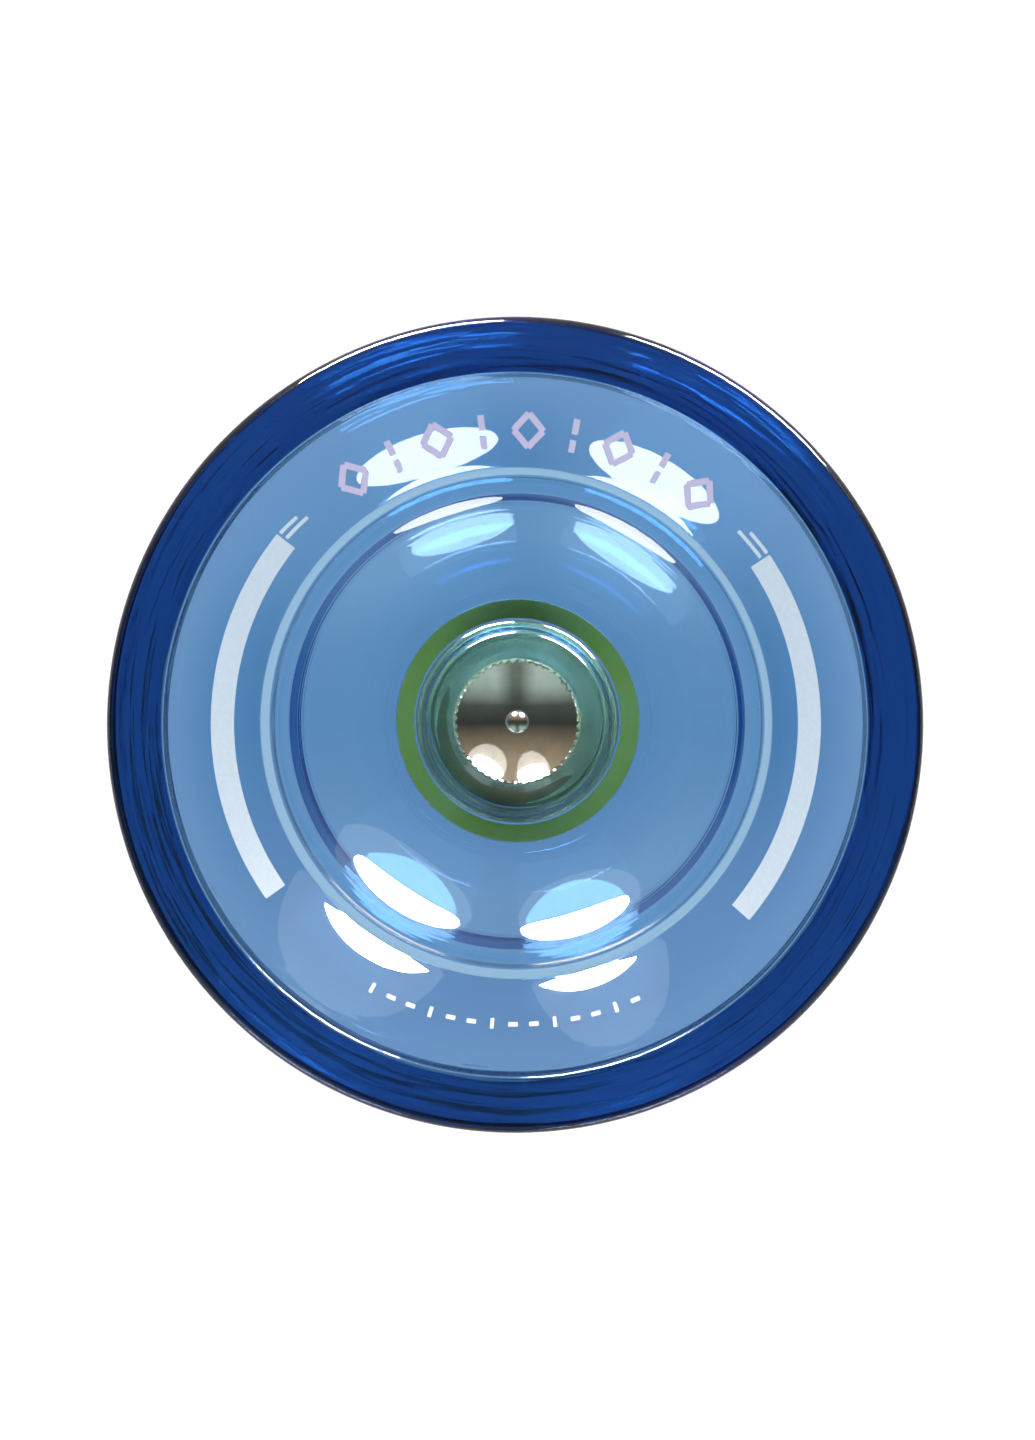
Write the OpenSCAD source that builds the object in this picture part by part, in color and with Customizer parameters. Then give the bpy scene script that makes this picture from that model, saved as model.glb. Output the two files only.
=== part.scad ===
// Butterfly yo-yo with two clear moulded halves that screw together on a steel axle,
// a ball bearing for the string and a silicone pad in each inner face.
// The spin axis is Z and the origin is the centre of the bearing, midway between the rims.
// Sizes are in millimetres.

/* [Halves] */
// Diameter over the rims
outer_d = 58; // [57:0.5:59]
// Width over both rims
overall_w = 41; // [40.5:0.5:42]
// Gap between the inner faces, where the string runs
string_gap = 2.6; // [2.4:0.1:2.8]
// Radius of the curved flank that faces the string
flank_rad = 37.8; // [37.5:0.1:38.5]
// Thickness of the rim, from the outer surface in to the wall of the cup
rim_t = 4.05; // [3.9:0.05:4.2]

/* [Cup] */
// Height of the inner edge of the dish above the middle of the yo-yo
dish_floor_h = 7.9; // [7.8:0.05:8]
// Radius at which the inner dish ends
dish_r = 14.72; // [14.6:0.02:14.8]
// Radius at which the curved band round the dish ends
band_r = 16.65; // [16.5:0.05:16.8]
// Radius at which the steep riser ends and the bowl begins
riser_r = 18.44; // [18.3:0.02:18.6]
// Radius of the raised boss round the hub
boss_r = 6.8; // [6.6:0.1:7]
// Height of that boss above the middle of the yo-yo
boss_h = 9.4; // [9.2:0.1:9.6]

/* [Hub] */
// Diameter of the knurled hub nut, over its teeth
hub_d = 9.2; // [9:0.1:9.4]
// Teeth round the hub nut
hub_teeth = 48; // [36:4:60]
// Height of the hub nut's outer face above the middle of the yo-yo
hub_h = 9.2; // [9:0.1:9.4]
// Depth of the hollow turned into that face
hub_dish_depth = 1.28; // [1.2:0.02:1.36]
// Thread diameter of the axle screw
axle_d = 4; // [4:4]
// Length of the axle screw
axle_len = 14; // [13:0.5:14]

/* [Pads] */
// Inner diameter of a response pad
pad_in_d = 14.68; // [14.6:0.02:14.8]
// Outer diameter of a response pad
pad_out_d = 18.52; // [18.4:0.02:18.6]
// Thickness of a response pad
pad_t = 1.15; // [1:0.05:1.15]

/* [Bearing] */
// Outer diameter of the bearing
bearing_d = 12.7; // [12.7:12.7]
// Bore of the bearing
bearing_bore = 6.35; // [6.35:6.35]
// Width of the bearing
bearing_w = 3.175; // [3.175:3.175]
// Diameter of a ball
ball_d = 1.5875; // [1.5875:1.5875]
// Number of balls
ball_count = 10; // [10:10]

/* [Hidden] */
$fn = 96;

plastic_blue = [0.25, 0.55, 0.85, 0.5];
steel = "silver";
silicone_yellow = "gold";

outer_r = outer_d / 2;
half_w = overall_w / 2;
face_h = string_gap / 2;
// Points along each arc of an outline
arc_steps = 8;
long_arc_steps = 16;

// Rounds on the corners of a half
flank_lip_round = 1.2;
rim_outer_round = 0.5;
rim_inner_round = 0.15;
riser_crest_round = 0.3;
boss_foot_round = 0.9;
boss_crest_round = 0.5;

// The flank starts just outside the pad with this slope
flank_start = [10.9, face_h + 0.2];
flank_slope = 16.4;
face_land_r = 10.3;
flank_c = flank_start + flank_rad * [-sin(flank_slope), cos(flank_slope)];
lip_r = outer_r - flank_lip_round;
lip_c = [lip_r, flank_c[1] - sqrt(pow(flank_rad - flank_lip_round, 2) - pow(lip_r - flank_c[0], 2))];
lip_a = atan2(lip_c[1] - flank_c[1], lip_c[0] - flank_c[0]);

// Slopes at the start and the end of each curve of the cup
dish_slopes = [5.3, 25];
band_slopes = [27, 34];
riser_slopes = [38.5, 68];
bowl_slopes = [31, 39];
wall_foot = 0.15;
wall_slope = 84;
cup_r = outer_r - rim_t;

// Recess for the bearing, groove for the pad and bore for the hub nut
fit_gap = 0.05;
recess_r = bearing_d / 2 + 0.15;
recess_h = bearing_w / 2 + 0.5125;
groove_in_r = pad_in_d / 2 - 0.04;
groove_out_r = pad_out_d / 2 + 0.04;
groove_h = face_h + 1.2;
hub_bore_r = hub_d / 2 + fit_gap;
boss_flat_r = 5.6;
boss_bore_h = hub_h - 0.1;

// Groove round the hub nut, and the rib of plastic that locks into it
lock_r = 4.1;
lock_h = 5;
lock_w = 0.8;

// Hub nut
tooth_depth = 0.25;
seat_r = bearing_bore / 2 - 0.01;
seat_end_h = 0.15;
shoulder_r = 4.15;
hub_dish_r = 4.5;
hub_sphere_rad = (pow(hub_dish_r, 2) + pow(hub_dish_depth, 2)) / (2 * hub_dish_depth);
hub_nub_r = 0.85;
hub_nub_rad = 1.4;
hub_nub_h = hub_h - hub_dish_depth + 0.35;
thread_bore_r = axle_d / 2 + 0.05;
thread_bore_h = axle_len / 2 + 0.2;

// Axle screw
axle_r = axle_d / 2 - 0.02;
axle_chamfer = 0.5;
socket_af = 2;
socket_depth = 2;
socket_r = socket_af / 2 / cos(30);

// Bearing
pitch_r = (bearing_d + bearing_bore) / 4;
ball_r = ball_d / 2;
race_groove_rad = 0.84;
race_groove_shift = race_groove_rad - ball_r - 0.01;
inner_shoulder_r = 4.31;
outer_shoulder_r = 5.21;
shield_seat_r = 5.66;
shield_seat_h = 1.05;
shield_in_r = 4.42;
shield_t = 0.15;
ring_seat_r = 5.86;
ring_seat_h = 1.215;
ring_seat_w = 0.21;
ring_in_r = 5.45;
ring_t = 0.2;
ring_gap_a = 24;
cage_in_r = 4.46;
cage_out_r = 5.06;
cage_low = -0.98;
cage_high = 0.45;
cage_pocket_r = 0.84;
race_chamfer = 0.2;

// Extra length of a cutter past the face that it opens
cut = 1;

// Points on an arc round c, from angle a0 to angle a1
function arc(c, rad, a0, a1, steps) =
    [for (i = [0 : steps]) let (a = a0 + (a1 - a0) * i / steps) c + rad * [cos(a), sin(a)]];

// Points on a hollow curve from point p out to radius r, with its slope changing from s[0] to s[1]
function sweep(p, r, s, steps) = let(rad = (r - p[0]) / (sin(s[1]) - sin(s[0])))
    arc(p + rad * [-sin(s[0]), cos(s[0])], rad, s[0] - 90, s[1] - 90, steps);

function last(points) = points[len(points) - 1];

// Curves of the cup, from the foot of the boss out to the foot of the wall inside the rim
boss_foot = arc([boss_r + boss_foot_round, dish_floor_h + boss_foot_round], boss_foot_round,
    180, 270 + dish_slopes[0], arc_steps);
dish = sweep(last(boss_foot), dish_r, dish_slopes, long_arc_steps);
band = sweep(last(dish), band_r, band_slopes, arc_steps);
riser = sweep(last(band), riser_r, riser_slopes, arc_steps);
riser_crest_c = last(riser) + riser_crest_round * [sin(riser_slopes[1]), -cos(riser_slopes[1])];
riser_crest = arc(riser_crest_c, riser_crest_round, riser_slopes[1] + 90, bowl_slopes[0] + 90, arc_steps);
bowl = sweep(last(riser_crest), cup_r - wall_foot, bowl_slopes, arc_steps);

// Outline of the upper half, as [radius, height] points
half_outline = concat(
    // boss round the hub, then the cup
    [[hub_bore_r, boss_bore_h], [boss_flat_r, boss_h]],
    arc([boss_r - boss_crest_round, boss_h - boss_crest_round], boss_crest_round, 90, 0, arc_steps),
    boss_foot, dish, band, riser, riser_crest, bowl,
    // rim
    arc([cup_r + rim_inner_round, half_w - rim_inner_round], rim_inner_round, 90 + wall_slope, 90, arc_steps),
    arc([outer_r - rim_outer_round, half_w - rim_outer_round], rim_outer_round, 90, 0, arc_steps),
    // lip at the outer end of the flank, and the flank itself
    arc(lip_c, flank_lip_round, 0, lip_a, arc_steps),
    arc(flank_c, flank_rad, lip_a, flank_slope - 90, long_arc_steps),
    // inner face: land, pad groove and bearing recess
    [
        [face_land_r, face_h], [groove_out_r, face_h], [groove_out_r, groove_h],
        [groove_in_r, groove_h], [groove_in_r, face_h],
        [recess_r, face_h], [recess_r, recess_h], [hub_bore_r, recess_h],
    ],
    // rib that locks into the hub nut
    [
        [hub_bore_r, lock_h - lock_w / 2 + fit_gap], [lock_r + fit_gap, lock_h - lock_w / 2 + fit_gap],
        [lock_r + fit_gap, lock_h + lock_w / 2 - fit_gap], [hub_bore_r, lock_h + lock_w / 2 - fit_gap],
    ]
);

module half_body() {
    color(plastic_blue)
        rotate_extrude() polygon(half_outline);
}

// Barrel with straight teeth all round
module knurled_barrel(h0, h1) {
    tooth_a = 360 / hub_teeth;
    translate([0, 0, h0]) linear_extrude(h1 - h0)
        polygon([for (i = [0 : 2 * hub_teeth - 1])
            (hub_d / 2 - (i % 2) * tooth_depth) * [cos(i * tooth_a / 2), sin(i * tooth_a / 2)]]);
}

module hub_nut() {
    dish_bottom = hub_h - hub_dish_depth;
    color(steel) {
        difference() {
            union() {
                knurled_barrel(recess_h, hub_h);
                translate([0, 0, bearing_w / 2]) cylinder(h = recess_h - bearing_w / 2, r = shoulder_r);
                translate([0, 0, seat_end_h]) cylinder(h = bearing_w / 2 - seat_end_h, r = seat_r);
            }
            translate([0, 0, dish_bottom + hub_sphere_rad]) sphere(r = hub_sphere_rad);
            translate([0, 0, seat_end_h - cut]) cylinder(h = thread_bore_h - seat_end_h + cut, r = thread_bore_r);
            translate([0, 0, lock_h - lock_w / 2]) difference() {
                cylinder(h = lock_w, r = hub_d);
                translate([0, 0, -cut]) cylinder(h = lock_w + 2 * cut, r = lock_r);
            }
        }
        // low dome left in the middle of the hollow
        intersection() {
            translate([0, 0, hub_nub_h - hub_nub_rad]) sphere(r = hub_nub_rad);
            translate([0, 0, thread_bore_h + 0.2]) cylinder(h = hub_h - thread_bore_h, r = hub_nub_r);
        }
    }
}

module response_pad() {
    color(silicone_yellow)
        translate([0, 0, face_h]) difference() {
            cylinder(h = pad_t, d = pad_out_d);
            translate([0, 0, -cut]) cylinder(h = pad_t + 2 * cut, d = pad_in_d);
        }
}

module axle_screw() {
    color(steel)
        difference() {
            rotate_extrude() polygon([
                [0, -axle_len / 2], [axle_r - axle_chamfer, -axle_len / 2],
                [axle_r, axle_chamfer - axle_len / 2], [axle_r, axle_len / 2 - axle_chamfer],
                [axle_r - axle_chamfer, axle_len / 2], [0, axle_len / 2],
            ]);
            translate([0, 0, axle_len / 2 - socket_depth])
                cylinder(h = socket_depth + cut, r = socket_r, $fn = 6);
        }
}

module bearing_inner_race() {
    color(steel)
        rotate_extrude() difference() {
            translate([bearing_bore / 2, -bearing_w / 2])
                square([inner_shoulder_r - bearing_bore / 2, bearing_w]);
            translate([pitch_r + race_groove_shift, 0]) circle(r = race_groove_rad);
        }
}

// Outer race, with a counterbore and a snap ring groove at each end
module bearing_outer_race() {
    color(steel)
        rotate_extrude() difference() {
            polygon([
                [outer_shoulder_r, -bearing_w / 2], [bearing_d / 2 - race_chamfer, -bearing_w / 2],
                [bearing_d / 2, race_chamfer - bearing_w / 2], [bearing_d / 2, bearing_w / 2 - race_chamfer],
                [bearing_d / 2 - race_chamfer, bearing_w / 2], [outer_shoulder_r, bearing_w / 2],
            ]);
            translate([pitch_r - race_groove_shift, 0]) circle(r = race_groove_rad);
            for (side = [0, 1]) mirror([0, side]) {
                translate([0, shield_seat_h]) square([shield_seat_r, bearing_w]);
                translate([0, ring_seat_h]) square([ring_seat_r, ring_seat_w]);
            }
        }
}

module bearing_cage() {
    color(steel)
        difference() {
            translate([0, 0, cage_low]) cylinder(h = cage_high - cage_low, r = cage_out_r);
            translate([0, 0, cage_low - cut]) cylinder(h = cage_high - cage_low + 2 * cut, r = cage_in_r);
            for (i = [1 : ball_count]) at_ball(i) sphere(r = cage_pocket_r);
        }
}

// Moves its children to the place of ball i
module at_ball(i) {
    rotate([0, 0, (i - 1) * 360 / ball_count]) translate([pitch_r, 0, 0]) children();
}

module bearing_ball(i) {
    color(steel) at_ball(i) sphere(r = ball_r);
}

module bearing_shield() {
    color(steel)
        rotate_extrude() translate([shield_in_r, shield_seat_h + 0.01])
            square([shield_seat_r - 0.04 - shield_in_r, shield_t]);
}

module snap_ring() {
    color(steel)
        rotate([0, 0, ring_gap_a / 2]) rotate_extrude(angle = 360 - ring_gap_a)
            translate([ring_in_r, ring_seat_h + 0.005])
                square([ring_seat_r - 0.02 - ring_in_r, ring_t]);
}

// The lower copy of a piece
module lower() {
    mirror([0, 0, 1]) children();
}

lower() half_body();  // lower_half_body
half_body();  // upper_half_body
lower() hub_nut();  // lower_hub_nut
hub_nut();  // upper_hub_nut
lower() response_pad();  // lower_response_pad
response_pad();  // upper_response_pad
axle_screw();
bearing_inner_race();
bearing_outer_race();
bearing_cage();
for (i = [1 : ball_count])
    bearing_ball(i);
lower() bearing_shield();  // lower_bearing_shield
bearing_shield();  // upper_bearing_shield
lower() snap_ring();  // lower_snap_ring
snap_ring();  // upper_snap_ring
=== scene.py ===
"""Looks of the clear blue yo-yo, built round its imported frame."""

import math

import bmesh
import bpy
from mathutils import Matrix, Vector


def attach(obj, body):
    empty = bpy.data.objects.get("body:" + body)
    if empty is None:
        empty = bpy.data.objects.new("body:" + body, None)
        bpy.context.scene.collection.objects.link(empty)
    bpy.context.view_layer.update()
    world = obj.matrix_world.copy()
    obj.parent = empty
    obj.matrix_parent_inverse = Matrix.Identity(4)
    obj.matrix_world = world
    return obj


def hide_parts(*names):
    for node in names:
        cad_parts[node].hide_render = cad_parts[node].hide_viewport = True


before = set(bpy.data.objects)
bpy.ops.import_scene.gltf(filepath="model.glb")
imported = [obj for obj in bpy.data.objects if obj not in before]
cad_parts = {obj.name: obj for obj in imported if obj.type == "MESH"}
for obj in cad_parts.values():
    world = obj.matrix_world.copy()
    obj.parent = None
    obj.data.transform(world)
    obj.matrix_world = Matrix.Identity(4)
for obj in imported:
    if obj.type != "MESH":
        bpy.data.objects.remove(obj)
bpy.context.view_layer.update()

# ---------------------------------------------------------------- sizes, in mm
MM = 0.001
OUTER_R, HALF_W, FACE_H = 29.0, 20.5, 1.3

# rounds and curves of a half, as in the CAD model; slopes are in degrees from level
FLANK_START, FLANK_SLOPE, FLANK_RAD = (10.9, 1.5), 16.4, 37.8
FACE_LAND_R = 10.3
LIP_ROUND, RIM_OUTER_ROUND, RIM_INNER_ROUND, RIM_T = 1.2, 0.5, 0.15, 4.05
BOSS_R, BOSS_H, BOSS_FLAT_R, BOSS_FOOT_ROUND, BOSS_CREST_ROUND = 6.8, 9.4, 5.6, 0.9, 0.5
DISH_FLOOR_H, DISH_R, DISH_SLOPES = 7.9, 14.72, (5.3, 25.0)
BAND_R, BAND_SLOPES = 16.65, (27.0, 34.0)
RISER_R, RISER_SLOPES, RISER_CREST = 18.44, (38.5, 68.0), 0.3
BOWL_SLOPES, WALL_FOOT, WALL_SLOPE = (31.0, 39.0), 0.15, 84.0
RECESS_R, RECESS_H = 6.5, 2.1
GROOVE_IN_R, GROOVE_OUT_R, GROOVE_H = 7.3, 9.3, 2.5
LOCK_R, LOCK_H, LOCK_W = 4.1, 5.0, 0.8
FIT_GAP = 0.05
MOULD_EDGE = 0.08  # smallest round that a polished mould leaves

# hub nut
HUB_R, HUB_H, HUB_TEETH, TOOTH_DEPTH = 4.6, 9.2, 48, 0.25
HUB_DISH_R, HUB_DISH_DEPTH = 4.5, 1.28
HUB_NUB_R, HUB_NUB_H, HUB_NUB_RAD = 0.85, 8.27, 1.4
HUB_SPHERE_RAD = (HUB_DISH_R ** 2 + HUB_DISH_DEPTH ** 2) / (2 * HUB_DISH_DEPTH)
SEAT_R, SEAT_END_H, SHOULDER_R, SEAT_H = 3.165, 0.15, 4.15, 1.5875
THREAD_BORE_R, THREAD_BORE_H = 2.05, 7.2
HUB_BORE_R = HUB_R + FIT_GAP

# pad, axle and bearing
PAD_IN_R, PAD_OUT_R, PAD_T, PAD_EDGE = 7.34, 9.26, 1.15, 0.12
AXLE_R, AXLE_HALF, AXLE_PITCH, THREAD_DEPTH = 1.98, 7.0, 0.7, 0.38
AXLE_CHAMFER, THREAD_STEP = 0.5, 0.0875
SOCKET_AF, SOCKET_DEPTH = 2.0, 2.0
BALL_COUNT = 10

# print on the bowl of the upper half
PRINT_LIFT, PRINT_T = 0.01, 0.02
PRINT_R = 21.1  # middle of the printed ring
BAND_IN_R, BAND_OUT_R = 20.3, 21.9
TAIL_W, STROKE_W, MARK_W = 0.26, 0.46, 0.3
ROW_COUNT, ROW_START, ROW_STEP = 9, 123.5, 9.0  # azimuths in degrees
LOZENGE_HALF_A, LOZENGE_HALF_R = 2.9, 1.2
MARK_COUNT, MARK_START, MARK_STEP, MARK_R = 14, 241.5, 4.0, 21.6

# steps and edges of the meshes
SEGMENTS = 192  # round the axis of a large piece
SMALL_SEGMENTS = 96
SEGMENTS_PER_TOOTH = 8
SHARP_ANGLE = math.radians(35)
ON_AXIS = 1e-9

# ---------------------------------------------------------------- looks
PLASTIC_IOR = 1.585
PLASTIC_DENSITY = 164.0
PLASTIC_TINT = (0.0, 0.43, 0.73)
LAMP_SHARE = 0.93  # share of lamp light that one surface lets through
RISER_LINES, RIM_WAVES = 3500, 250  # noise scales of the moulding lines
RISER_ZONE = (0.572, 0.582, 0.628, 0.638)  # as shares of the outer radius
RIM_ZONE = (0.80, 0.86)
BLACK, WHITE = (0, 0, 0), (1, 1, 1)

# ---------------------------------------------------------------- light and camera
HORIZON_TOP, HORIZON_BLUR = 0.25, 0.15
HORIZON_COLOUR = (0.95, 0.97, 1.0)
FLOOR_GLOW = 1.03
FLOOR_HALF, FLOOR_DROP = 3.0, 0.00002  # metres
LAMP_DISTANCE, CORE_DISTANCE = 0.6, 0.58
PANEL_RADIANCE, CORE_RADIANCE, FILL_RADIANCE, STRIP_RADIANCE = 1.1, 600, 18, 14
PAD_FRONT_RADIANCE, PAD_BACK_RADIANCE = 22, 9
CAMERA_DISTANCE = 0.40  # from the upper rim
CAMERA_SHIFT = (0.015, 0.021)  # off the axis, as a share of that distance
YOYO_SHARE = 818 / 1035  # diameter over the width of the view
AIM = (0.21, 0.39)  # mm off the axis
SENSOR = 36.0


# ---------------------------------------------------------------- outlines
def arc(centre, rad, start, end, step=4.0):
    """Points on an arc in the (radius, height) plane, from start to end degrees."""
    count = max(2, math.ceil(abs(end - start) / step))
    angles = [math.radians(start + (end - start) * i / count) for i in range(count + 1)]
    return [(centre[0] + rad * math.cos(a), centre[1] + rad * math.sin(a)) for a in angles]


def refine(points, longest):
    """The closed outline with its long stretches cut into short ones."""
    out = []
    for a, b in zip(points, points[1:] + points[:1]):
        pieces = max(1, math.ceil(math.dist(a, b) / longest))
        out += [(a[0] + (b[0] - a[0]) * i / pieces, a[1] + (b[1] - a[1]) * i / pieces) for i in range(pieces)]
    return out


def eased(points, rad):
    """Cuts each corner of a closed outline to a small two-step round."""
    out = []
    for before, here, after in zip(points[-1:] + points[:-1], points, points[1:] + points[:1]):
        u, v = Vector(before) - Vector(here), Vector(after) - Vector(here)
        cut = min(rad, u.length * 0.4, v.length * 0.4)
        near, far = Vector(here) + u.normalized() * cut, Vector(here) + v.normalized() * cut
        middle = (near + far) * 0.15 + Vector(here) * 0.7
        out += [tuple(near), tuple(middle), tuple(far)]
    return out


def tangent_centre(centre, rad, small, r):
    """Centre, at radius r, of a small circle that touches a large one from inside, and the angle there."""
    dr = r - centre[0]
    dh = -math.sqrt((rad - small) ** 2 - dr ** 2)
    return (r, centre[1] + dh), math.degrees(math.atan2(dh, dr))


def sweep(start, end_r, slopes, step=2.0):
    """A hollow arc from a point out to a radius, with its slope changing from one value to another."""
    s0, s1 = (math.radians(s) for s in slopes)
    rad = (end_r - start[0]) / (math.sin(s1) - math.sin(s0))
    centre = (start[0] - rad * math.sin(s0), start[1] + rad * math.cos(s0))
    return arc(centre, rad, slopes[0] - 90, slopes[1] - 90, step)


def cup_outline():
    """The cup of the upper half, from the hub bore out to the top of the rim."""
    points = [(HUB_BORE_R, HUB_H - 0.1), (BOSS_FLAT_R, BOSS_H)]
    points += arc((BOSS_R - BOSS_CREST_ROUND, BOSS_H - BOSS_CREST_ROUND), BOSS_CREST_ROUND, 90, 0, 9)
    points += arc((BOSS_R + BOSS_FOOT_ROUND, DISH_FLOOR_H + BOSS_FOOT_ROUND), BOSS_FOOT_ROUND,
                  180, 270 + DISH_SLOPES[0], 6)
    points += sweep(points[-1], DISH_R, DISH_SLOPES, 1)
    points += sweep(points[-1], BAND_R, BAND_SLOPES)
    points += sweep(points[-1], RISER_R, RISER_SLOPES)
    s = math.radians(RISER_SLOPES[1])
    crest_c = (points[-1][0] + RISER_CREST * math.sin(s), points[-1][1] - RISER_CREST * math.cos(s))
    points += arc(crest_c, RISER_CREST, RISER_SLOPES[1] + 90, BOWL_SLOPES[0] + 90, 6)
    points += sweep(points[-1], OUTER_R - RIM_T - WALL_FOOT, BOWL_SLOPES, 0.5)
    edge = (OUTER_R - RIM_T + RIM_INNER_ROUND, HALF_W - RIM_INNER_ROUND)
    return points + arc(edge, RIM_INNER_ROUND, 90 + WALL_SLOPE, 90, 9)


def half_outline():
    """The upper half's section, from the hub bore over the cup and rim and back along the flank."""
    slope = math.radians(FLANK_SLOPE)
    flank_c = (FLANK_START[0] - FLANK_RAD * math.sin(slope), FLANK_START[1] + FLANK_RAD * math.cos(slope))
    lip_c, lip_a = tangent_centre(flank_c, FLANK_RAD, LIP_ROUND, OUTER_R - LIP_ROUND)
    face = eased([
        (FACE_LAND_R, FACE_H), (GROOVE_OUT_R, FACE_H), (GROOVE_OUT_R, GROOVE_H),
        (GROOVE_IN_R, GROOVE_H), (GROOVE_IN_R, FACE_H),
        (RECESS_R, FACE_H), (RECESS_R, RECESS_H), (HUB_BORE_R, RECESS_H),
    ], MOULD_EDGE)
    lock = [
        (HUB_BORE_R, LOCK_H - LOCK_W / 2 + FIT_GAP), (LOCK_R + FIT_GAP, LOCK_H - LOCK_W / 2 + FIT_GAP),
        (LOCK_R + FIT_GAP, LOCK_H + LOCK_W / 2 - FIT_GAP), (HUB_BORE_R, LOCK_H + LOCK_W / 2 - FIT_GAP),
    ]
    outline = (
        cup_outline()
        + arc((OUTER_R - RIM_OUTER_ROUND, HALF_W - RIM_OUTER_ROUND), RIM_OUTER_ROUND, 90, 0)
        + arc(lip_c, LIP_ROUND, 0, lip_a)
        + arc(flank_c, FLANK_RAD, lip_a, FLANK_SLOPE - 90, 0.5)
        + face
        + lock
    )
    return refine(outline, 0.5)


def hub_dish_height(r):
    """Height of the hollow in the hub's end at a radius."""
    return HUB_H - HUB_DISH_DEPTH + HUB_SPHERE_RAD - math.sqrt(HUB_SPHERE_RAD ** 2 - r ** 2)


def hub_outline():
    """The hub nut's section, as (radius, height, kind). Teeth cut into every point that isn't inside them."""
    edge = math.degrees(math.asin(HUB_DISH_R / HUB_SPHERE_RAD))
    nub_edge = math.degrees(math.asin(HUB_NUB_R / HUB_SPHERE_RAD))
    centre = (0, HUB_H - HUB_DISH_DEPTH + HUB_SPHERE_RAD)
    nub_half = math.degrees(math.asin(HUB_NUB_R / HUB_NUB_RAD))
    nub_c = (0, HUB_NUB_H - HUB_NUB_RAD)
    smooth = (
        arc(nub_c, HUB_NUB_RAD, 90, 90 - nub_half, 6)
        + arc(centre, HUB_SPHERE_RAD, nub_edge - 90, edge - 90, 1)
        + [(HUB_DISH_R + 0.04, HUB_H)]
    )
    top = [(r, h, "top") for r, h in smooth]
    barrel = [(HUB_R, HUB_H - 0.06, "tooth")]
    groove_top, groove_low = LOCK_H + LOCK_W / 2, LOCK_H - LOCK_W / 2
    barrel += [(HUB_R, h, "tooth") for h in (HUB_H - 0.3, HUB_H - 1.5, groove_top + 1, groove_top + 0.1)]
    barrel += [(LOCK_R + 0.1, groove_top, "plain"), (LOCK_R, groove_top - 0.1, "plain")]
    barrel += [(LOCK_R, groove_low + 0.1, "plain"), (LOCK_R + 0.1, groove_low, "plain"),
               (HUB_R, groove_low - 0.1, "tooth")]
    barrel += [(HUB_R, RECESS_H + 0.8, "tooth"), (HUB_R, RECESS_H + 0.1, "tooth"),
               (HUB_R - TOOTH_DEPTH, RECESS_H, "plain")]
    post = [(SHOULDER_R, RECESS_H), (SHOULDER_R, SEAT_H), (SEAT_R, SEAT_H), (SEAT_R, SEAT_END_H + 0.1),
            (SEAT_R - 0.1, SEAT_END_H), (THREAD_BORE_R + 0.2, SEAT_END_H), (THREAD_BORE_R, SEAT_END_H + 0.2),
            (THREAD_BORE_R, THREAD_BORE_H), (0, THREAD_BORE_H)]
    return top + barrel + [(r, h, "plain") for r, h in post]


# ---------------------------------------------------------------- mesh helpers
def mesh_object(name, vertices, faces, material, body):
    """A smooth-shaded object from points in mm, riding on a body."""
    mesh = bpy.data.meshes.new(name)
    mesh.from_pydata([tuple(c * MM for c in v) for v in vertices], [], faces)
    mesh.update()
    bm = bmesh.new()
    bm.from_mesh(mesh)
    bmesh.ops.remove_doubles(bm, verts=bm.verts, dist=1e-8)
    bmesh.ops.dissolve_degenerate(bm, edges=bm.edges, dist=1e-9)
    bmesh.ops.recalc_face_normals(bm, faces=bm.faces)
    bm.to_mesh(mesh)
    bm.free()
    for polygon in mesh.polygons:
        polygon.use_smooth = True
    mesh.set_sharp_from_angle(angle=SHARP_ANGLE)
    mesh.materials.append(material)
    piece = bpy.data.objects.new(name, mesh)
    bpy.context.scene.collection.objects.link(piece)
    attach(piece, body)
    return piece


def lathe(name, outline, material, body, side=1, segments=SEGMENTS, place=None, closed=True):
    """Turns a (radius, height, ...) outline round Z. side is -1 for the mirrored lower copy.

    place(point, angle) gives the radius and height where they change round the axis. An open
    outline starts and ends on the axis."""
    vertices, rings = [], []
    for point in outline:
        if point[0] < ON_AXIS:
            rings.append([len(vertices)] * segments)
            vertices.append((0, 0, side * point[1]))
            continue
        rings.append(range(len(vertices), len(vertices) + segments))
        for k in range(segments):
            angle = 2 * math.pi * k / segments
            r, h = place(point, angle) if place else point[:2]
            vertices.append((r * math.cos(angle), r * math.sin(angle), side * h))
    faces = []
    pairs = list(zip(rings, rings[1:]))
    if closed:
        pairs.append((rings[-1], rings[0]))
    for low, high in pairs:
        for k in range(segments):
            loop = [low[k], low[(k + 1) % segments], high[(k + 1) % segments], high[k]]
            face = list(dict.fromkeys(loop))
            if len(face) > 2:
                faces.append(face)
    return mesh_object(name, vertices, faces, material, body)


# ---------------------------------------------------------------- materials
def new_material(name):
    material = bpy.data.materials.new(name)
    material.use_nodes = True
    nodes = material.node_tree.nodes
    return material, nodes, material.node_tree.links, nodes["Principled BSDF"]


def object_coords(nodes):
    return nodes.new("ShaderNodeTexCoord").outputs["Object"]


def noise(nodes, links, vector, scale, detail=2.0):
    node = nodes.new("ShaderNodeTexNoise")
    node.inputs["Scale"].default_value = scale
    node.inputs["Detail"].default_value = detail
    links.new(vector, node.inputs["Vector"])
    return node.outputs["Fac"]


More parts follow.
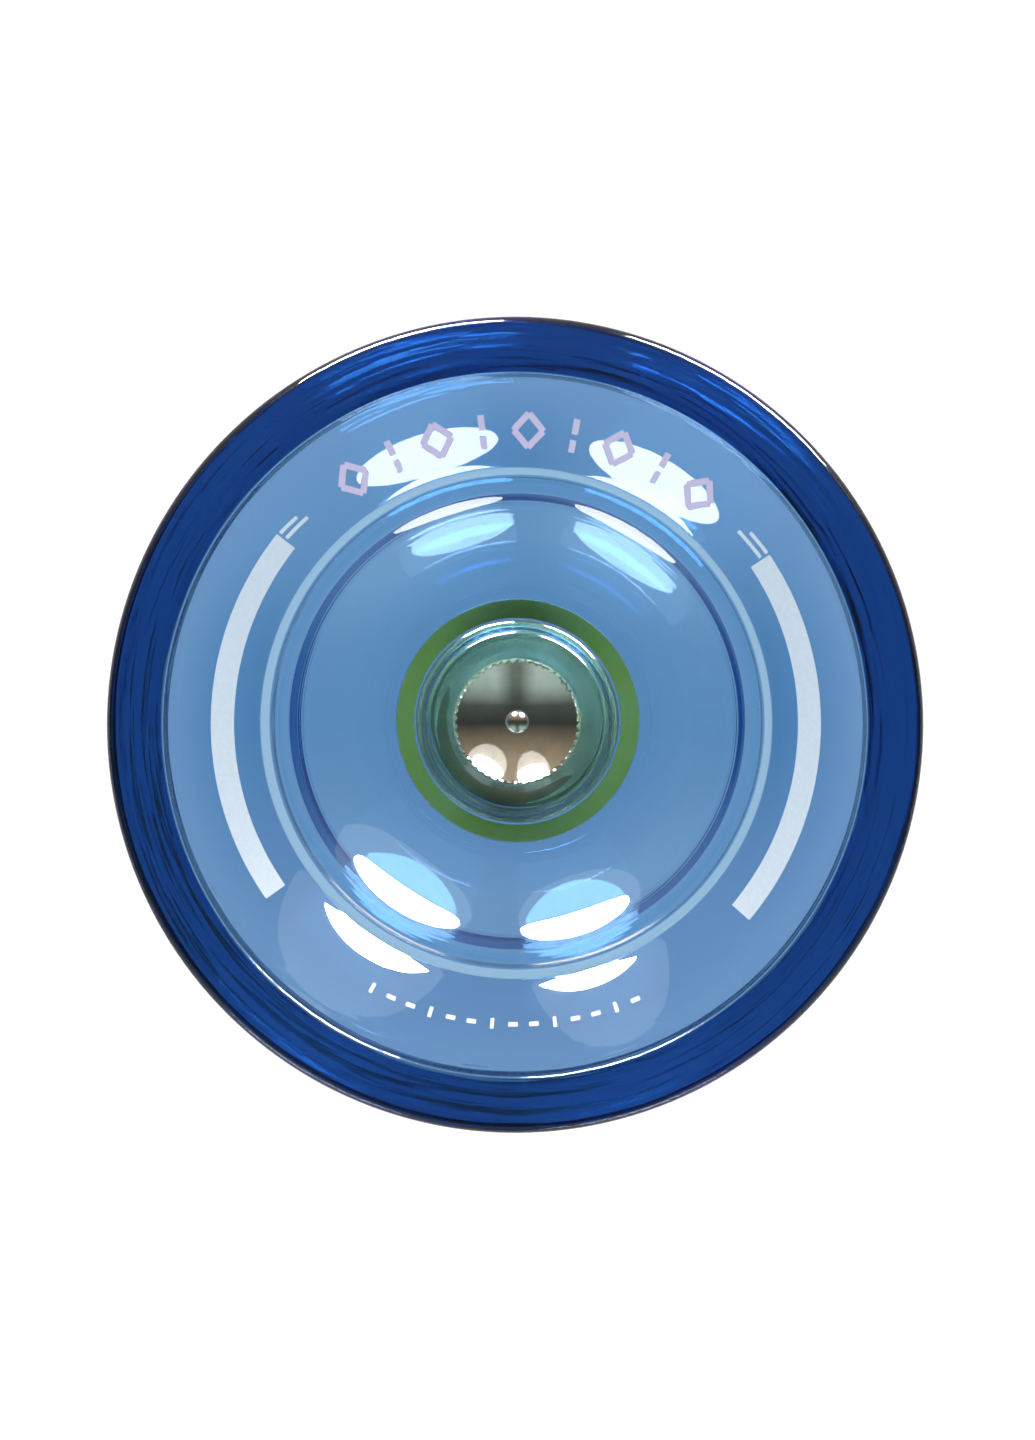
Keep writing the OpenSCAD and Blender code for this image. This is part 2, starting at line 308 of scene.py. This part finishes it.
def ramp(nodes, links, value, stops):
    """A colour ramp over (position, colour) stops."""
    node = nodes.new("ShaderNodeValToRGB")
    links.new(value, node.inputs["Fac"])
    elements = node.color_ramp.elements
    while len(elements) < len(stops):
        elements.new(0.5)
    for element, (position, colour) in zip(elements, stops):
        element.position = position
        element.color = (*colour, 1)
    return node.outputs["Color"]


def remap(nodes, links, value, low, high):
    node = nodes.new("ShaderNodeMapRange")
    node.inputs["To Min"].default_value = low
    node.inputs["To Max"].default_value = high
    links.new(value, node.inputs["Value"])
    return node.outputs["Result"]


def bump(nodes, links, height, strength, distance):
    node = nodes.new("ShaderNodeBump")
    node.inputs["Strength"].default_value = strength
    node.inputs["Distance"].default_value = distance
    links.new(height, node.inputs["Height"])
    return node.outputs["Normal"]


def axis_distance(nodes, links, coords):
    """Distance from Z, in metres."""
    split = nodes.new("ShaderNodeSeparateXYZ")
    links.new(coords, split.inputs["Vector"])
    flat = nodes.new("ShaderNodeCombineXYZ")
    links.new(split.outputs["X"], flat.inputs["X"])
    links.new(split.outputs["Y"], flat.inputs["Y"])
    length = nodes.new("ShaderNodeVectorMath")
    length.operation = "LENGTH"
    links.new(flat.outputs["Vector"], length.inputs[0])
    return length.outputs["Value"]


def math_node(nodes, links, operation, a, b):
    """A math node on a linked value and either another one or a number."""
    node = nodes.new("ShaderNodeMath")
    node.operation = operation
    links.new(a, node.inputs[0])
    if isinstance(b, (int, float)):
        node.inputs[1].default_value = b
    else:
        links.new(b, node.inputs[1])
    return node.outputs["Value"]


def mould_lines(nodes, links, coords):
    """Height of fine moulding lines: close rings on the riser, longer drawn-out waves in the thick rim."""
    r = axis_distance(nodes, links, coords)
    share = math_node(nodes, links, "DIVIDE", r, OUTER_R * MM)
    ring_at = nodes.new("ShaderNodeCombineXYZ")
    links.new(r, ring_at.inputs["X"])
    rings = noise(nodes, links, ring_at.outputs["Vector"], RISER_LINES, 1)
    on_riser = ramp(nodes, links, share, list(zip(RISER_ZONE, (BLACK, WHITE, WHITE, BLACK))))
    split = nodes.new("ShaderNodeSeparateXYZ")
    links.new(coords, split.inputs["Vector"])
    wave_at = nodes.new("ShaderNodeCombineXYZ")
    links.new(math_node(nodes, links, "MULTIPLY", r, 6), wave_at.inputs["X"])
    links.new(math_node(nodes, links, "MULTIPLY", split.outputs["X"], 0.3), wave_at.inputs["Y"])
    links.new(math_node(nodes, links, "MULTIPLY", split.outputs["Y"], 0.3), wave_at.inputs["Z"])
    waves = noise(nodes, links, wave_at.outputs["Vector"], RIM_WAVES, 2)
    on_rim = ramp(nodes, links, share, list(zip(RIM_ZONE, (BLACK, WHITE))))
    fine = math_node(nodes, links, "MULTIPLY", rings, on_riser)
    wide = math_node(nodes, links, "MULTIPLY", waves, on_rim)
    return math_node(nodes, links, "ADD", fine, wide)


def clear_plastic():
    """Blue-tinted clear polycarbonate, darker where it is thicker."""
    material, nodes, links, glass = new_material("clear_blue_plastic")
    glass.inputs["Base Color"].default_value = (1, 1, 1, 1)
    glass.inputs["Transmission Weight"].default_value = 1
    glass.inputs["IOR"].default_value = PLASTIC_IOR
    # faint handling scuffs, which only dull the gloss a little
    coords = object_coords(nodes)
    scuffs = noise(nodes, links, coords, 900, 6)
    links.new(remap(nodes, links, scuffs, 0.0, 0.03), glass.inputs["Roughness"])
    links.new(bump(nodes, links, mould_lines(nodes, links, coords), 0.5, 0.00003), glass.inputs["Normal"])
    inside = nodes.new("ShaderNodeVolumeAbsorption")
    inside.inputs["Color"].default_value = (*PLASTIC_TINT, 1)
    inside.inputs["Density"].default_value = PLASTIC_DENSITY
    straight = nodes.new("ShaderNodeBsdfTransparent")
    straight.inputs["Color"].default_value = (LAMP_SHARE, LAMP_SHARE, LAMP_SHARE, 1)
    path = nodes.new("ShaderNodeLightPath")
    mix = nodes.new("ShaderNodeMixShader")
    output = nodes["Material Output"]
    links.new(path.outputs["Is Shadow Ray"], mix.inputs["Fac"])
    links.new(glass.outputs["BSDF"], mix.inputs[1])
    links.new(straight.outputs["BSDF"], mix.inputs[2])
    links.new(mix.outputs["Shader"], output.inputs["Surface"])
    links.new(inside.outputs["Volume"], output.inputs["Volume"])
    return material


def turned_steel(name, colour, roughness):
    """Steel turned on a lathe: fine rings round Z that catch the light."""
    material, nodes, links, steel = new_material(name)
    steel.inputs["Metallic"].default_value = 1
    coords = object_coords(nodes)
    ring_at = nodes.new("ShaderNodeCombineXYZ")
    links.new(axis_distance(nodes, links, coords), ring_at.inputs["X"])
    rings = noise(nodes, links, ring_at.outputs["Vector"], 9000, 3)
    stains = noise(nodes, links, coords, 700, 4)
    tone = [tuple(c * k for c in colour) for k in (0.88, 1.0)]
    links.new(ramp(nodes, links, stains, [(0.35, tone[0]), (0.65, tone[1])]), steel.inputs["Base Color"])
    links.new(remap(nodes, links, rings, roughness * 0.7, roughness * 1.4), steel.inputs["Roughness"])
    links.new(bump(nodes, links, rings, 0.25, 0.00001), steel.inputs["Normal"])
    return material


def silicone():
    """Cast yellow silicone, a little cloudy and mottled."""
    material, nodes, links, rubber = new_material("pad_silicone")
    coords = object_coords(nodes)
    cloud = noise(nodes, links, coords, 260, 5)
    grain = noise(nodes, links, coords, 5200, 2)
    stops = [(0.3, (0.82, 0.82, 0.08)), (0.7, (0.93, 0.93, 0.18))]
    links.new(ramp(nodes, links, cloud, stops), rubber.inputs["Base Color"])
    links.new(remap(nodes, links, cloud, 0.4, 0.6), rubber.inputs["Roughness"])
    links.new(bump(nodes, links, grain, 0.3, 0.00003), rubber.inputs["Normal"])
    rubber.inputs["Specular IOR Level"].default_value = 0.1
    rubber.inputs["Subsurface Weight"].default_value = 0.2
    rubber.inputs["Subsurface Radius"].default_value = (0.001, 0.0008, 0.0002)
    return material


def ink(name, colour):
    """Thin printed ink with a slightly uneven tone and gloss."""
    material, nodes, links, paint = new_material(name)
    grain = noise(nodes, links, object_coords(nodes), 3000, 4)
    tones = [(0.3, tuple(c * 0.93 for c in colour)), (0.7, colour)]
    links.new(ramp(nodes, links, grain, tones), paint.inputs["Base Color"])
    links.new(remap(nodes, links, grain, 0.35, 0.55), paint.inputs["Roughness"])
    paint.inputs["Specular IOR Level"].default_value = 0.05
    return material


plastic = clear_plastic()
hub_steel = turned_steel("hub_steel", (0.44, 0.43, 0.40), 0.035)
axle_steel = turned_steel("axle_steel", (0.36, 0.36, 0.37), 0.35)
bearing_steel = turned_steel("bearing_steel", (0.92, 0.74, 0.28), 0.22)
ball_steel = turned_steel("ball_steel", (0.8, 0.81, 0.82), 0.04)
cage_steel = turned_steel("cage_steel", (0.55, 0.53, 0.49), 0.25)
shield_steel = turned_steel("shield_steel", (0.92, 0.76, 0.30), 0.25)
ring_steel = turned_steel("ring_steel", (0.60, 0.54, 0.36), 0.25)
pad_rubber = silicone()
band_ink = ink("print_ink_pale", (0.42, 0.50, 0.60))
row_ink = ink("print_ink_lavender", (0.42, 0.39, 0.57))
mark_ink = ink("print_ink_white", (0.62, 0.64, 0.68))


# ---------------------------------------------------------------- pieces
def make_half(prefix, side, body):
    piece = lathe(prefix + "_half_shell", half_outline(), plastic, body, side)
    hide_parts(prefix + "_half_body")


def hub_place(point, angle):
    """Where a point of the hub's outline is at an angle, with teeth cut round the barrel and its top edge."""
    r, h, kind = point
    phase = (angle * HUB_TEETH / (2 * math.pi)) % 1
    tooth_r = HUB_R - TOOTH_DEPTH * (1 - min(1, max(0, abs(phase - 0.5) * 3 - 0.35)))
    if kind == "tooth":
        return tooth_r, min(h, hub_dish_height(min(tooth_r, HUB_DISH_R)) - 0.02)
    edge_r = tooth_r - 0.03
    if kind == "top" and r > edge_r:
        return edge_r, min(h, hub_dish_height(edge_r))
    return r, h


def make_hub(prefix, side, body):
    piece = lathe(prefix + "_knurled_hub", hub_outline(), hub_steel, body, side,
                  segments=HUB_TEETH * SEGMENTS_PER_TOOTH, place=hub_place, closed=False)
    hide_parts(prefix + "_hub_nut")


def make_pad(prefix, side, body):
    low, high = FACE_H, FACE_H + PAD_T
    outline = [(PAD_IN_R, low), (PAD_OUT_R, low), (PAD_OUT_R, high), (PAD_IN_R, high)]
    piece = lathe(prefix + "_silicone_ring", refine(eased(outline, PAD_EDGE), 0.3), pad_rubber, body, side)
    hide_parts(prefix + "_response_pad")


for prefix, side, body, pad_body in (("lower", -1, "lower_half", "lower_half"),
                                     ("upper", 1, "upper_half", "upper_pad_ring")):
    make_half(prefix, side, body)
    make_hub(prefix, side, body)
    make_pad(prefix, side, pad_body)


# ---------------------------------------------------------------- print in the upper cup
CUP_POINTS = cup_outline()


def cup_height(r):
    """Height of the bowl's surface at a radius."""
    for a, b in zip(CUP_POINTS, CUP_POINTS[1:]):
        if a[0] > RISER_R and a[0] <= r <= b[0]:
            return a[1] + (b[1] - a[1]) * (r - a[0]) / (b[0] - a[0])
    raise ValueError(r)


def printed(name, strokes, material):
    """Thin ink on the bowl. A stroke is a row of cross-sections, each a pair of (azimuth, radius) points."""
    vertices, faces = [], []
    for sections in strokes:
        start = len(vertices)
        for left, right in sections:
            for (azimuth, r), lift in ((left, PRINT_LIFT + PRINT_T), (right, PRINT_LIFT + PRINT_T),
                                       (right, PRINT_LIFT), (left, PRINT_LIFT)):
                a = math.radians(azimuth)
                vertices.append((r * math.cos(a), r * math.sin(a), cup_height(r) + lift))
        last = len(sections) - 1
        for i in range(last):
            low, high = start + 4 * i, start + 4 * i + 4
            faces += [[low + k, low + (k + 1) % 4, high + (k + 1) % 4, high + k] for k in range(4)]
        faces += [[start, start + 1, start + 2, start + 3], [start + 4 * last + k for k in (3, 2, 1, 0)]]
    mesh_object(name, vertices, faces, material, "upper_half")


def line(a, b, width, steps=4):
    """Cross-sections of a straight stroke between two (azimuth, radius) points."""
    to_arc = math.radians(1) * PRINT_R
    p, q = Vector((a[0] * to_arc, a[1])), Vector((b[0] * to_arc, b[1]))
    along = (q - p).normalized()
    side = Vector((-along.y, along.x)) * width / 2
    sections = []
    for i in range(steps + 1):
        middle = p.lerp(q, i / steps)
        sections.append([(m.x / to_arc, m.y) for m in (middle + side, middle - side)])
    return sections


def sweep_band(start, end, steps=60):
    """Cross-sections of a band that follows the ring from one azimuth to another."""
    azimuths = [start + (end - start) * i / steps for i in range(steps + 1)]
    return [((azimuth, BAND_IN_R), (azimuth, BAND_OUT_R)) for azimuth in azimuths]


def lozenge(azimuth):
    """Outline of a lozenge, as four strokes."""
    corners = [(azimuth - LOZENGE_HALF_A, PRINT_R), (azimuth, PRINT_R + LOZENGE_HALF_R),
               (azimuth + LOZENGE_HALF_A, PRINT_R), (azimuth, PRINT_R - LOZENGE_HALF_R)]
    return [line(a, b, STROKE_W) for a, b in zip(corners, corners[1:] + corners[:1])]


def make_print():
    """Two side bands, a row of lozenges and broken bars at the top, and a row of small marks low down."""
    bands = [
        sweep_band(141.5, 215.0), sweep_band(-40.0, 33.7),
        # two thin tails at the upper end of each band
        line((141.0, 21.75), (136.6, 21.62), TAIL_W), line((141.0, 21.2), (135.2, 21.08), TAIL_W),
        line((34.2, 21.8), (39.2, 21.72), TAIL_W), line((34.2, 21.25), (40.9, 21.15), TAIL_W),
    ]
    printed("side_bands", bands, band_ink)
    row = []
    for i in range(ROW_COUNT):
        azimuth = ROW_START - ROW_STEP * i
        if i % 2 == 0:
            row += lozenge(azimuth)
        else:
            row += [line((azimuth, PRINT_R + lift), (azimuth + 0.01, PRINT_R + lift + length), STROKE_W)
                    for lift, length in ((-1.2, 0.9), (0.1, 1.1))]
    printed("ornament_row", row, row_ink)
    marks = []
    for i in range(MARK_COUNT):
        azimuth = MARK_START + MARK_STEP * i
        half, width = (0.9, MARK_W) if i % 3 else (0.35, 2.4 * MARK_W)
        marks.append(line((azimuth - half, MARK_R), (azimuth + half, MARK_R), width))
    printed("lower_marks", marks, mark_ink)


make_print()


# ---------------------------------------------------------------- axle
def socket_r(angle):
    """Radius of the hexagonal socket at an angle."""
    return SOCKET_AF / 2 / math.cos((angle % math.radians(60)) - math.radians(30))


def axle_place(point, angle):
    """Where a point of the axle's outline is at an angle, with its thread and its socket."""
    r, h, kind = point
    if kind == "socket":
        return socket_r(angle), h
    if kind == "thread":
        phase = (h / AXLE_PITCH - angle / (2 * math.pi)) % 1
        return r - THREAD_DEPTH * min(1, max(0, abs(phase - 0.5) * 2.6 - 0.25)), h
    return r, h


def make_axle():
    """The axle, with its socket in the upper end."""
    top, core_r = AXLE_HALF, AXLE_R - THREAD_DEPTH
    count = round(2 * (top - AXLE_CHAMFER) / THREAD_STEP)
    outline = [(0, top - SOCKET_DEPTH, "plain"), (0.9, top - SOCKET_DEPTH, "socket"),
               (1.0, top - 0.05, "socket"), (1.25, top, "plain"), (core_r, top, "plain")]
    outline += [(AXLE_R, top - AXLE_CHAMFER - THREAD_STEP * i, "thread") for i in range(count + 1)]
    outline += [(core_r, -top, "plain"), (0, -top, "plain")]
    piece = lathe("threaded_axle", outline, axle_steel, "lower_half",
                  segments=SMALL_SEGMENTS, place=axle_place, closed=False)
    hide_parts("axle_screw")


make_axle()

# ---------------------------------------------------------------- the bearing's CAD pieces
CAD_LOOKS = {
    "bearing_inner_race": bearing_steel, "bearing_outer_race": bearing_steel,
    "bearing_cage": cage_steel, "lower_bearing_shield": shield_steel, "upper_bearing_shield": shield_steel,
    "lower_snap_ring": ring_steel, "upper_snap_ring": ring_steel,
}
for i in range(1, BALL_COUNT + 1):
    CAD_LOOKS[f"bearing_ball_{i}"] = ball_steel
for name, material in CAD_LOOKS.items():
    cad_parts[name].data.materials.clear()
    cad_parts[name].data.materials.append(material)


# ---------------------------------------------------------------- stage, light and camera
def make_floor():
    """A pale, softly glowing light table."""
    half = FLOOR_HALF
    mesh = bpy.data.meshes.new("floor")
    z = -HALF_W * MM - FLOOR_DROP
    corners = [(-half, -half, z), (half, -half, z), (half, half, z), (-half, half, z)]
    mesh.from_pydata(corners, [], [(0, 1, 2, 3)])
    floor = bpy.data.objects.new("floor", mesh)
    bpy.context.scene.collection.objects.link(floor)
    material, _, _, pale = new_material("pale_floor")
    pale.inputs["Base Color"].default_value = (0.05, 0.05, 0.05, 1)
    pale.inputs["Roughness"].default_value = 0.8
    pale.inputs["Specular IOR Level"].default_value = 0
    pale.inputs["Emission Color"].default_value = (1, 1, 1, 1)
    pale.inputs["Emission Strength"].default_value = FLOOR_GLOW
    mesh.materials.append(material)


def facing(back, up):
    """Rotation of a lamp or camera that looks away from back, its top side towards up."""
    z = back.normalized()
    x = up.cross(z).normalized()
    return Matrix((x, z.cross(x), z)).transposed().to_quaternion()


def make_lamp(name, azimuth, polar, width, height, radiance, distance=LAMP_DISTANCE):
    """An oval soft box that faces the yo-yo. polar is its angle from straight above, in degrees.

    width and height are shares of its distance."""
    light = bpy.data.lights.new(name, "AREA")
    light.shape = "ELLIPSE"
    light.size, light.size_y = width * distance, height * distance
    light.energy = radiance * light.size * light.size_y * math.pi ** 2 / 4
    lamp = bpy.data.objects.new(name, light)
    a, p = math.radians(azimuth), math.radians(polar)
    away = Vector((math.cos(a) * math.sin(p), math.sin(a) * math.sin(p), math.cos(p)))
    lamp.location = away * distance
    lamp.rotation_mode = "QUATERNION"
    lamp.rotation_quaternion = facing(away, Vector((0, 0, 1)))
    bpy.context.scene.collection.objects.link(lamp)
    return lamp


def link_group(name, pieces, state):
    """A collection for a lamp to light alone, or with EXCLUDE to leave out."""
    group = bpy.data.collections.new(name)
    for piece in pieces:
        group.objects.link(bpy.data.objects[piece])
    for item in group.collection_objects:
        item.light_linking.link_state = state
    return group


def make_world():
    """A room that is white low down all round and dim overhead, pale in front and warm at the back."""
    world = bpy.data.worlds.new("room")
    bpy.context.scene.world = world
    world.use_nodes = True
    nodes, links = world.node_tree.nodes, world.node_tree.links
    direction = nodes.new("ShaderNodeTexCoord").outputs["Generated"]
    split = nodes.new("ShaderNodeSeparateXYZ")
    links.new(direction, split.inputs["Vector"])
    side = remap(nodes, links, split.outputs["Y"], 0, 1)
    side.node.inputs["From Min"].default_value = -1
    around = ramp(nodes, links, side, [
        (0.0, (1.0, 1.2, 1.15)), (0.2, (0.75, 1.0, 0.95)), (0.36, (0.15, 0.18, 0.16)),
        (0.5, (0.08, 0.09, 0.085)),
        (0.6, (0.30, 0.26, 0.19)), (0.8, (0.75, 0.62, 0.45)), (1.0, (0.85, 0.72, 0.55)),
    ])
    # the pale side has a dark gap in its middle
    across = nodes.new("ShaderNodeMath")
    across.operation = "ABSOLUTE"
    links.new(split.outputs["X"], across.inputs[0])
    gap = ramp(nodes, links, across.outputs["Value"], [(0.06, (0.35, 0.35, 0.33)), (0.3, WHITE)])
    front = nodes.new("ShaderNodeMix")
    front.data_type = "RGBA"
    front.blend_type = "MULTIPLY"
    links.new(ramp(nodes, links, side, [(0.3, WHITE), (0.45, BLACK)]), front.inputs["Factor"])
    links.new(around, front.inputs["A"])
    links.new(gap, front.inputs["B"])
    low = ramp(nodes, links, split.outputs["Z"], [
        (0.0, WHITE), (HORIZON_TOP, WHITE), (HORIZON_TOP + HORIZON_BLUR, BLACK),
    ])
    blend = nodes.new("ShaderNodeMix")
    blend.data_type = "RGBA"
    links.new(low, blend.inputs["Factor"])
    links.new(front.outputs["Result"], blend.inputs["A"])
    blend.inputs["B"].default_value = (*HORIZON_COLOUR, 1)
    background = nodes["Background"]
    links.new(blend.outputs["Result"], background.inputs["Color"])
    white = nodes.new("ShaderNodeBackground")
    white.inputs["Color"].default_value = (1, 1, 1, 1)
    white.inputs["Strength"].default_value = FLOOR_GLOW
    path = nodes.new("ShaderNodeLightPath")
    mix = nodes.new("ShaderNodeMixShader")
    links.new(path.outputs["Is Camera Ray"], mix.inputs["Fac"])
    links.new(background.outputs["Background"], mix.inputs[1])
    links.new(white.outputs["Background"], mix.inputs[2])
    links.new(mix.outputs["Shader"], nodes["World Output"].inputs["Surface"])


def make_lamps():
    """Two soft boxes at the back, a fill overhead, and lamps that reach only the pads or the bowl."""
    pad_rings = ("lower_silicone_ring", "upper_silicone_ring")
    pads = link_group("pads", pad_rings, "INCLUDE")
    all_but_pads = link_group("all_but_pads", pad_rings, "EXCLUDE")
    bowl = link_group("bowl", ("upper_half_shell",), "INCLUDE")
    for panel in (make_lamp("softbox_right", 54, 50, 0.64, 0.74, PANEL_RADIANCE),
                  make_lamp("softbox_left", 110.5, 50, 0.5, 0.74, PANEL_RADIANCE)):
        panel.light_linking.receiver_collection = all_but_pads
    # the bright middle of each soft box shows only as a highlight
    for core in (make_lamp("softbox_right_core", 57, 52, 0.5, 0.25, CORE_RADIANCE, CORE_DISTANCE),
                 make_lamp("softbox_left_core", 108.3, 52, 0.45, 0.25, CORE_RADIANCE, CORE_DISTANCE)):
        core.visible_diffuse = False
        core.light_linking.receiver_collection = all_but_pads
    fill = make_lamp("fill", 90, 4, 0.5, 0.5, FILL_RADIANCE)
    fill.light_linking.receiver_collection = all_but_pads
    fill.visible_glossy = False
    fill.visible_transmission = False
    for pad_fill in (make_lamp("pad_fill_front", 270, 38, 0.4, 0.4, PAD_FRONT_RADIANCE),
                     make_lamp("pad_fill_back", 90, 38, 0.4, 0.4, PAD_BACK_RADIANCE)):
        pad_fill.light_linking.receiver_collection = pads
    # two low strips from the front are mirrored in the bowl, behind the upper printed row
    for strip in (make_lamp("strip_left", 287, 62.5, 0.46, 0.12, STRIP_RADIANCE),
                  make_lamp("strip_right", 240, 62.8, 0.46, 0.13, STRIP_RADIANCE)):
        strip.light_linking.receiver_collection = bowl


def make_camera():
    """Looks down on the open end of the upper half from a little off its axis, +Y up."""
    data = bpy.data.cameras.new("camera")
    data.sensor_fit = "HORIZONTAL"
    data.sensor_width = SENSOR
    data.lens = SENSOR * CAMERA_DISTANCE / (2 * OUTER_R * MM / YOYO_SHARE)
    camera = bpy.data.objects.new("camera", data)
    aim = Vector((AIM[0] * MM, AIM[1] * MM, HALF_W * MM))
    offset = Vector((CAMERA_SHIFT[0], CAMERA_SHIFT[1], 1)) * CAMERA_DISTANCE
    camera.location = aim + offset
    camera.rotation_mode = "QUATERNION"
    camera.rotation_quaternion = facing(offset, Vector((0, 1, 0)))
    bpy.context.scene.collection.objects.link(camera)
    bpy.context.scene.camera = camera


make_floor()
make_world()
make_lamps()
make_camera()

scene = bpy.context.scene
scene.view_settings.view_transform = "Standard"
scene.cycles.max_bounces = 32
scene.cycles.transmission_bounces = 32
scene.cycles.glossy_bounces = 16
scene.cycles.diffuse_bounces = 3
scene.cycles.transparent_max_bounces = 32
scene.cycles.caustics_refractive = False
scene.cycles.caustics_reflective = False
scene.cycles.use_denoising = True
